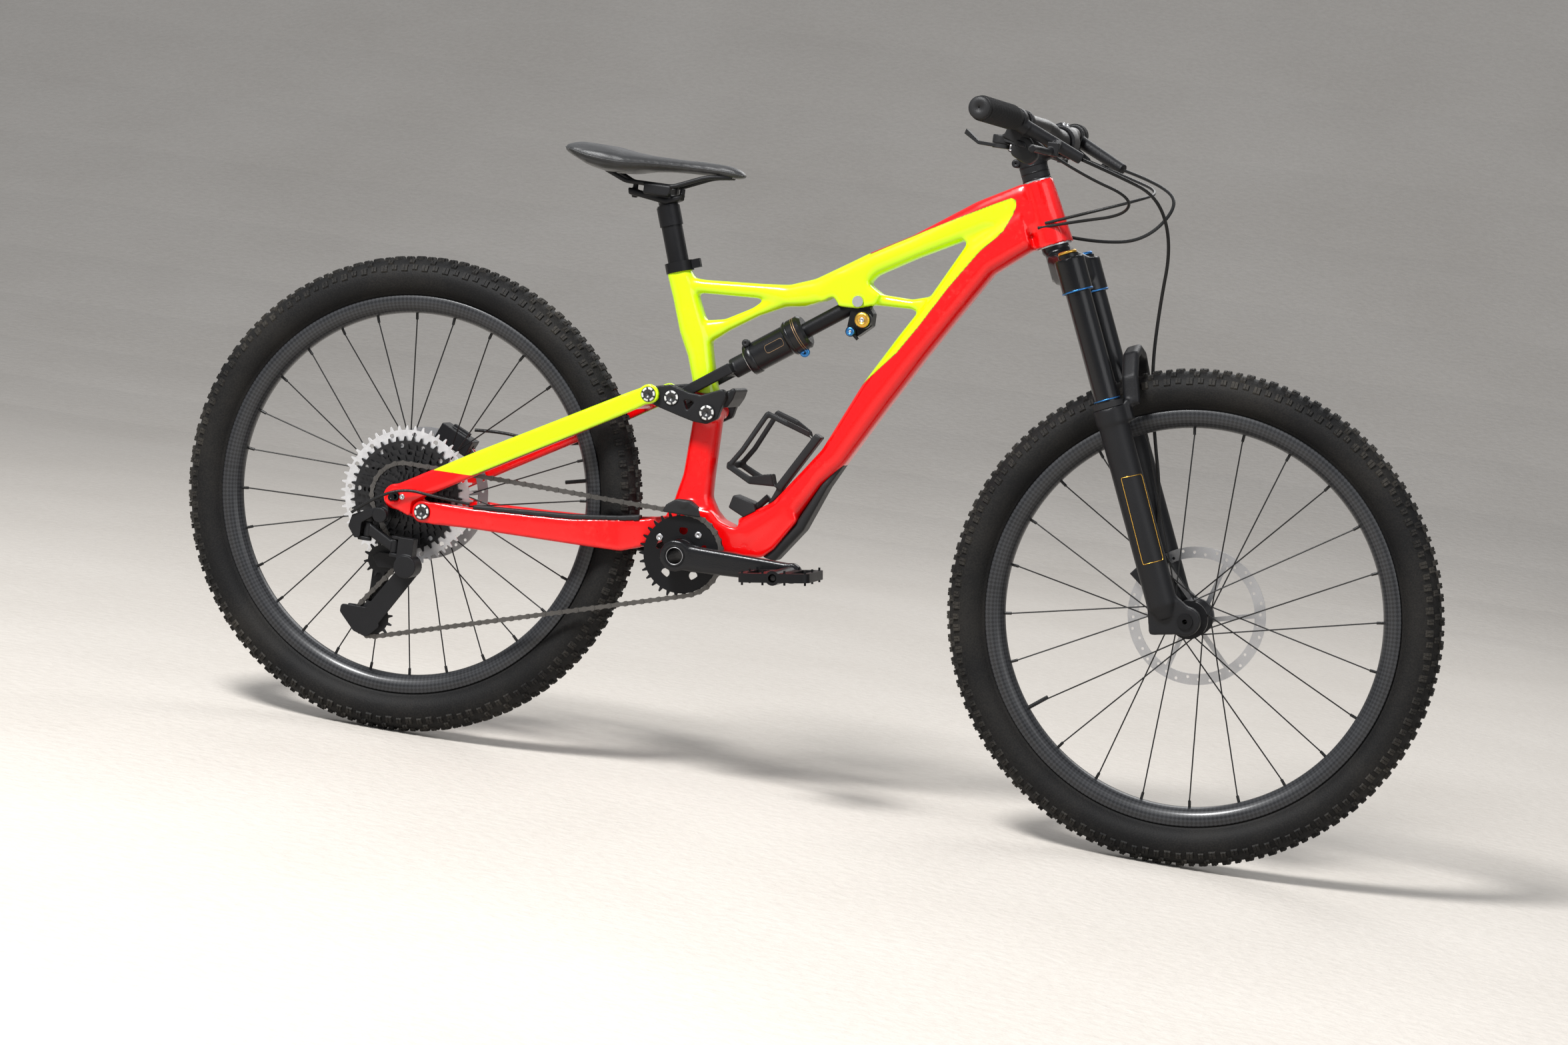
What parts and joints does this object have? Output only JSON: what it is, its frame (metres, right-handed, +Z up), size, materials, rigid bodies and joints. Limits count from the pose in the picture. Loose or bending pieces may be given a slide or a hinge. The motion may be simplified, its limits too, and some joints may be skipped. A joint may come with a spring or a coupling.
{
  "type": "mountain bike",
  "caption": "Full-suspension mountain bike with telescopic fork, linkage rear end, disc brakes, single-ring chain drive, dropper seat post and knobby tyres.",
  "frame": {"origin": "on the ground midway between the two axles, in the bike's middle plane", "axes": "+X forward, +Y to the rider's left, +Z up"},
  "size_m": [1.8998, 0.7864, 1.0421],
  "materials": {
    "frame_paint": "gloss red and yellow-green lacquer over carbon",
    "black_alloy": "black anodised",
    "steel": "bright steel",
    "black_steel": "blackened steel",
    "carbon": "satin carbon",
    "black_plastic": "moulded black plastic",
    "rubber": "black rubber",
    "tyre_rubber": "dusty tyre rubber",
    "saddle_cover": "black synthetic cover over foam",
    "hose_black": "black hose",
    "seal_blue": "seal with a blue ring"
  },
  "bodies": {
    "frame": {"front_frame": "frame_paint", "seat_collar": "black_alloy", "frame_bearings": "steel", "frame_guards": "black_plastic", "bottle_cage": "black_plastic", "dropper_post_outer": "black_alloy", "chain": "black_steel"},
    "dropper": {"dropper_post_inner": "black_alloy", "saddle": "saddle_cover"},
    "steering": {"fork_crown_steerer": "black_alloy", "fork_stanchions": "black_alloy", "stem": "black_alloy", "handlebar": "black_alloy", "grips": "rubber", "brake_bodies": "black_alloy", "control_bodies": "black_plastic", "front_brake_hose": "hose_black", "rear_brake_hose": "hose_black", "control_cables": "hose_black"},
    "brake_lever_right": {"brake_lever_right": "black_alloy"},
    "brake_lever_left": {"brake_lever_left": "black_alloy"},
    "shifter_paddle": {"shifter_paddle": "black_plastic"},
    "dropper_remote": {"dropper_remote_lever": "black_plastic"},
    "fork_lowers": {"fork_lowers": "black_alloy", "wiper_seals": "seal_blue", "front_axle": "black_alloy", "front_caliper": "black_alloy"},
    "front_wheel": {"front_hub": "black_alloy", "front_rim": "carbon", "front_spokes": "black_steel", "front_tyre": "tyre_rubber", "front_rotor": "steel"},
    "chainstays": {"chainstays": "frame_paint", "chainstay_guard": "rubber", "chainstay_pivots": "black_alloy"},
    "seatstays": {"seatstays": "frame_paint", "rear_axle": "black_alloy", "rear_caliper": "black_alloy", "derailleur_base": "black_alloy", "rear_hose_and_housing": "hose_black"},
    "rocker": {"rocker_link": "black_alloy", "link_bolts": "black_alloy"},
    "shock_damper": {"shock_damper": "black_alloy"},
    "shock_can": {"shock_air_can": "black_alloy", "shock_yoke": "black_alloy"},
    "rear_wheel": {"rear_hub": "black_alloy", "rear_rim": "carbon", "rear_spokes": "black_steel", "rear_tyre": "tyre_rubber", "rear_rotor": "steel"},
    "cassette": {"cassette": "black_steel"},
    "crankset": {"crank_arms": "black_alloy", "chainring": "black_alloy"},
    "pedal_right": {"pedal_right": "black_alloy"},
    "pedal_left": {"pedal_left": "black_alloy"},
    "derailleur_links": {"derailleur_links": "black_alloy"},
    "derailleur_knuckle": {"derailleur_knuckle": "black_alloy"},
    "derailleur_cage": {"derailleur_cage": "black_alloy"},
    "pulley_upper": {"pulley_upper": "black_plastic"},
    "pulley_lower": {"pulley_lower": "black_plastic"}
  },
  "joints": [
    {"name": "steering_turn", "type": "hinge", "parent": "frame", "child": "steering", "pos_m": [0.3007, 0, 0.9], "axis": [-0.3987, 0, 0.9171], "range_deg": [-70, 70], "deforming": ["front_brake_hose", "rear_brake_hose", "control_cables"]},
    {"name": "fork_travel", "type": "slide", "parent": "steering", "child": "fork_lowers", "axis": [-0.3987, 0, 0.9171], "range_m": [0, 0.16], "stiffness_N_per_m": 6000, "springref_m": -0.02, "deforming": ["front_brake_hose"]},
    {"name": "front_wheel_spin", "type": "hinge", "parent": "fork_lowers", "child": "front_wheel", "pos_m": [0.593, 0, 0.357], "axis": [0, 1, 0], "continuous": true},
    {"name": "rear_suspension", "type": "hinge", "parent": "frame", "child": "chainstays", "pos_m": [-0.183, 0, 0.372], "axis": [0, 1, 0], "range_deg": [0, 23], "stiffness_Nm_per_rad": 900, "springref_deg": -6.88, "deforming": ["chain", "rear_hose_and_housing"]},
    {"name": "seatstay_turn", "type": "hinge", "parent": "chainstays", "child": "seatstays", "pos_m": [-0.548, 0, 0.341], "axis": [0, 1, 0], "range_deg": [-10.3, 0.1], "deforming": ["rear_hose_and_housing"]},
    {"name": "rocker_turn", "type": "hinge", "parent": "frame", "child": "rocker", "pos_m": [-0.145, 0, 0.547], "axis": [0, 1, 0], "range_deg": [-0.1, 60.7]},
    {"name": "shock_swing", "type": "hinge", "parent": "frame", "child": "shock_damper", "pos_m": [0.0485, 0, 0.7375], "axis": [0, 1, 0], "range_deg": [-0.1, 2.6]},
    {"name": "shock_stroke", "type": "slide", "parent": "shock_damper", "child": "shock_can", "axis": [0.817, 0, 0.5766], "range_m": [-0.0005, 0.058]},
    {"name": "rear_wheel_spin", "type": "hinge", "parent": "seatstays", "child": "rear_wheel", "pos_m": [-0.593, 0, 0.357], "axis": [0, 1, 0], "continuous": true},
    {"name": "crank_spin", "type": "hinge", "parent": "frame", "child": "crankset", "pos_m": [-0.155, 0, 0.336], "axis": [0, 1, 0], "continuous": true, "deforming": ["chain"]},
    {"name": "cassette_spin", "type": "hinge", "parent": "seatstays", "child": "cassette", "pos_m": [-0.593, 0, 0.357], "axis": [0, 1, 0], "continuous": true, "deforming": ["chain"]},
    {"name": "pedal_right_spin", "type": "hinge", "parent": "crankset", "child": "pedal_right", "pos_m": [0.02, -0.145, 0.337], "axis": [0, 1, 0], "continuous": true},
    {"name": "pedal_left_spin", "type": "hinge", "parent": "crankset", "child": "pedal_left", "pos_m": [-0.33, 0.145, 0.337], "axis": [0, 1, 0], "continuous": true},
    {"name": "rear_shift", "type": "hinge", "parent": "seatstays", "child": "derailleur_links", "pos_m": [-0.628, -0.08, 0.303], "axis": [0, 0, 1], "range_deg": [-22, 21], "deforming": ["chain"]},
    {"name": "rear_shift_knuckle", "type": "hinge", "parent": "derailleur_links", "child": "derailleur_knuckle", "pos_m": [-0.584, -0.078, 0.284], "axis": [0, 0, 1], "range_deg": [-21.1, 22.1]},
    {"name": "cage_swing", "type": "hinge", "parent": "derailleur_knuckle", "child": "derailleur_cage", "pos_m": [-0.56, -0.06, 0.257], "axis": [0, 1, 0], "range_deg": [-38, 40], "deforming": ["chain"]},
    {"name": "pulley_upper_spin", "type": "hinge", "parent": "derailleur_cage", "child": "pulley_upper", "pos_m": [-0.614, -0.044, 0.258], "axis": [0, 1, 0], "continuous": true},
    {"name": "pulley_lower_spin", "type": "hinge", "parent": "derailleur_cage", "child": "pulley_lower", "pos_m": [-0.616, -0.044, 0.169], "axis": [0, 1, 0], "continuous": true},
    {"name": "dropper_travel", "type": "slide", "parent": "frame", "child": "dropper", "axis": [-0.3261, 0, 0.9453], "range_m": [0, 0.125]},
    {"name": "brake_lever_right_pull", "type": "hinge", "parent": "steering", "child": "brake_lever_right", "pos_m": [0.342, -0.236, 0.987], "axis": [0, 0, 1], "range_deg": [0, 16], "stiffness_Nm_per_rad": 1.2, "springref_deg": -8.59},
    {"name": "brake_lever_left_pull", "type": "hinge", "parent": "steering", "child": "brake_lever_left", "pos_m": [0.342, 0.236, 0.987], "axis": [0, 0, 1], "range_deg": [-16, 0], "stiffness_Nm_per_rad": 1.2, "springref_deg": 8.59},
    {"name": "shifter_push", "type": "hinge", "parent": "steering", "child": "shifter_paddle", "pos_m": [0.262, -0.206, 0.983], "axis": [0, 0, 1], "range_deg": [-30, 12], "stiffness_Nm_per_rad": 0.5},
    {"name": "dropper_remote_push", "type": "hinge", "parent": "steering", "child": "dropper_remote", "pos_m": [0.276, 0.212, 0.982], "axis": [0, 0, 1], "range_deg": [0, 20], "stiffness_Nm_per_rad": 0.5, "springref_deg": -5.73}
  ],
  "couplings": [
    {"joint": "seatstay_turn", "follows": "rear_suspension", "ratio": -0.44422},
    {"joint": "rocker_turn", "follows": "rear_suspension", "ratio": 2.6337},
    {"joint": "shock_swing", "follows": "rear_suspension", "ratio": 0.10856},
    {"joint": "shock_stroke", "follows": "rear_suspension", "m_per_rad": 0.14342},
    {"joint": "cassette_spin", "follows": "crank_spin", "ratio": 1.25},
    {"joint": "pulley_upper_spin", "follows": "crank_spin", "ratio": -2.5},
    {"joint": "pulley_lower_spin", "follows": "crank_spin", "ratio": 2.1429},
    {"joint": "rear_shift_knuckle", "follows": "rear_shift", "ratio": -1},
    {"joint": "cage_swing", "follows": "rear_shift", "ratio": -1.8}
  ]
}
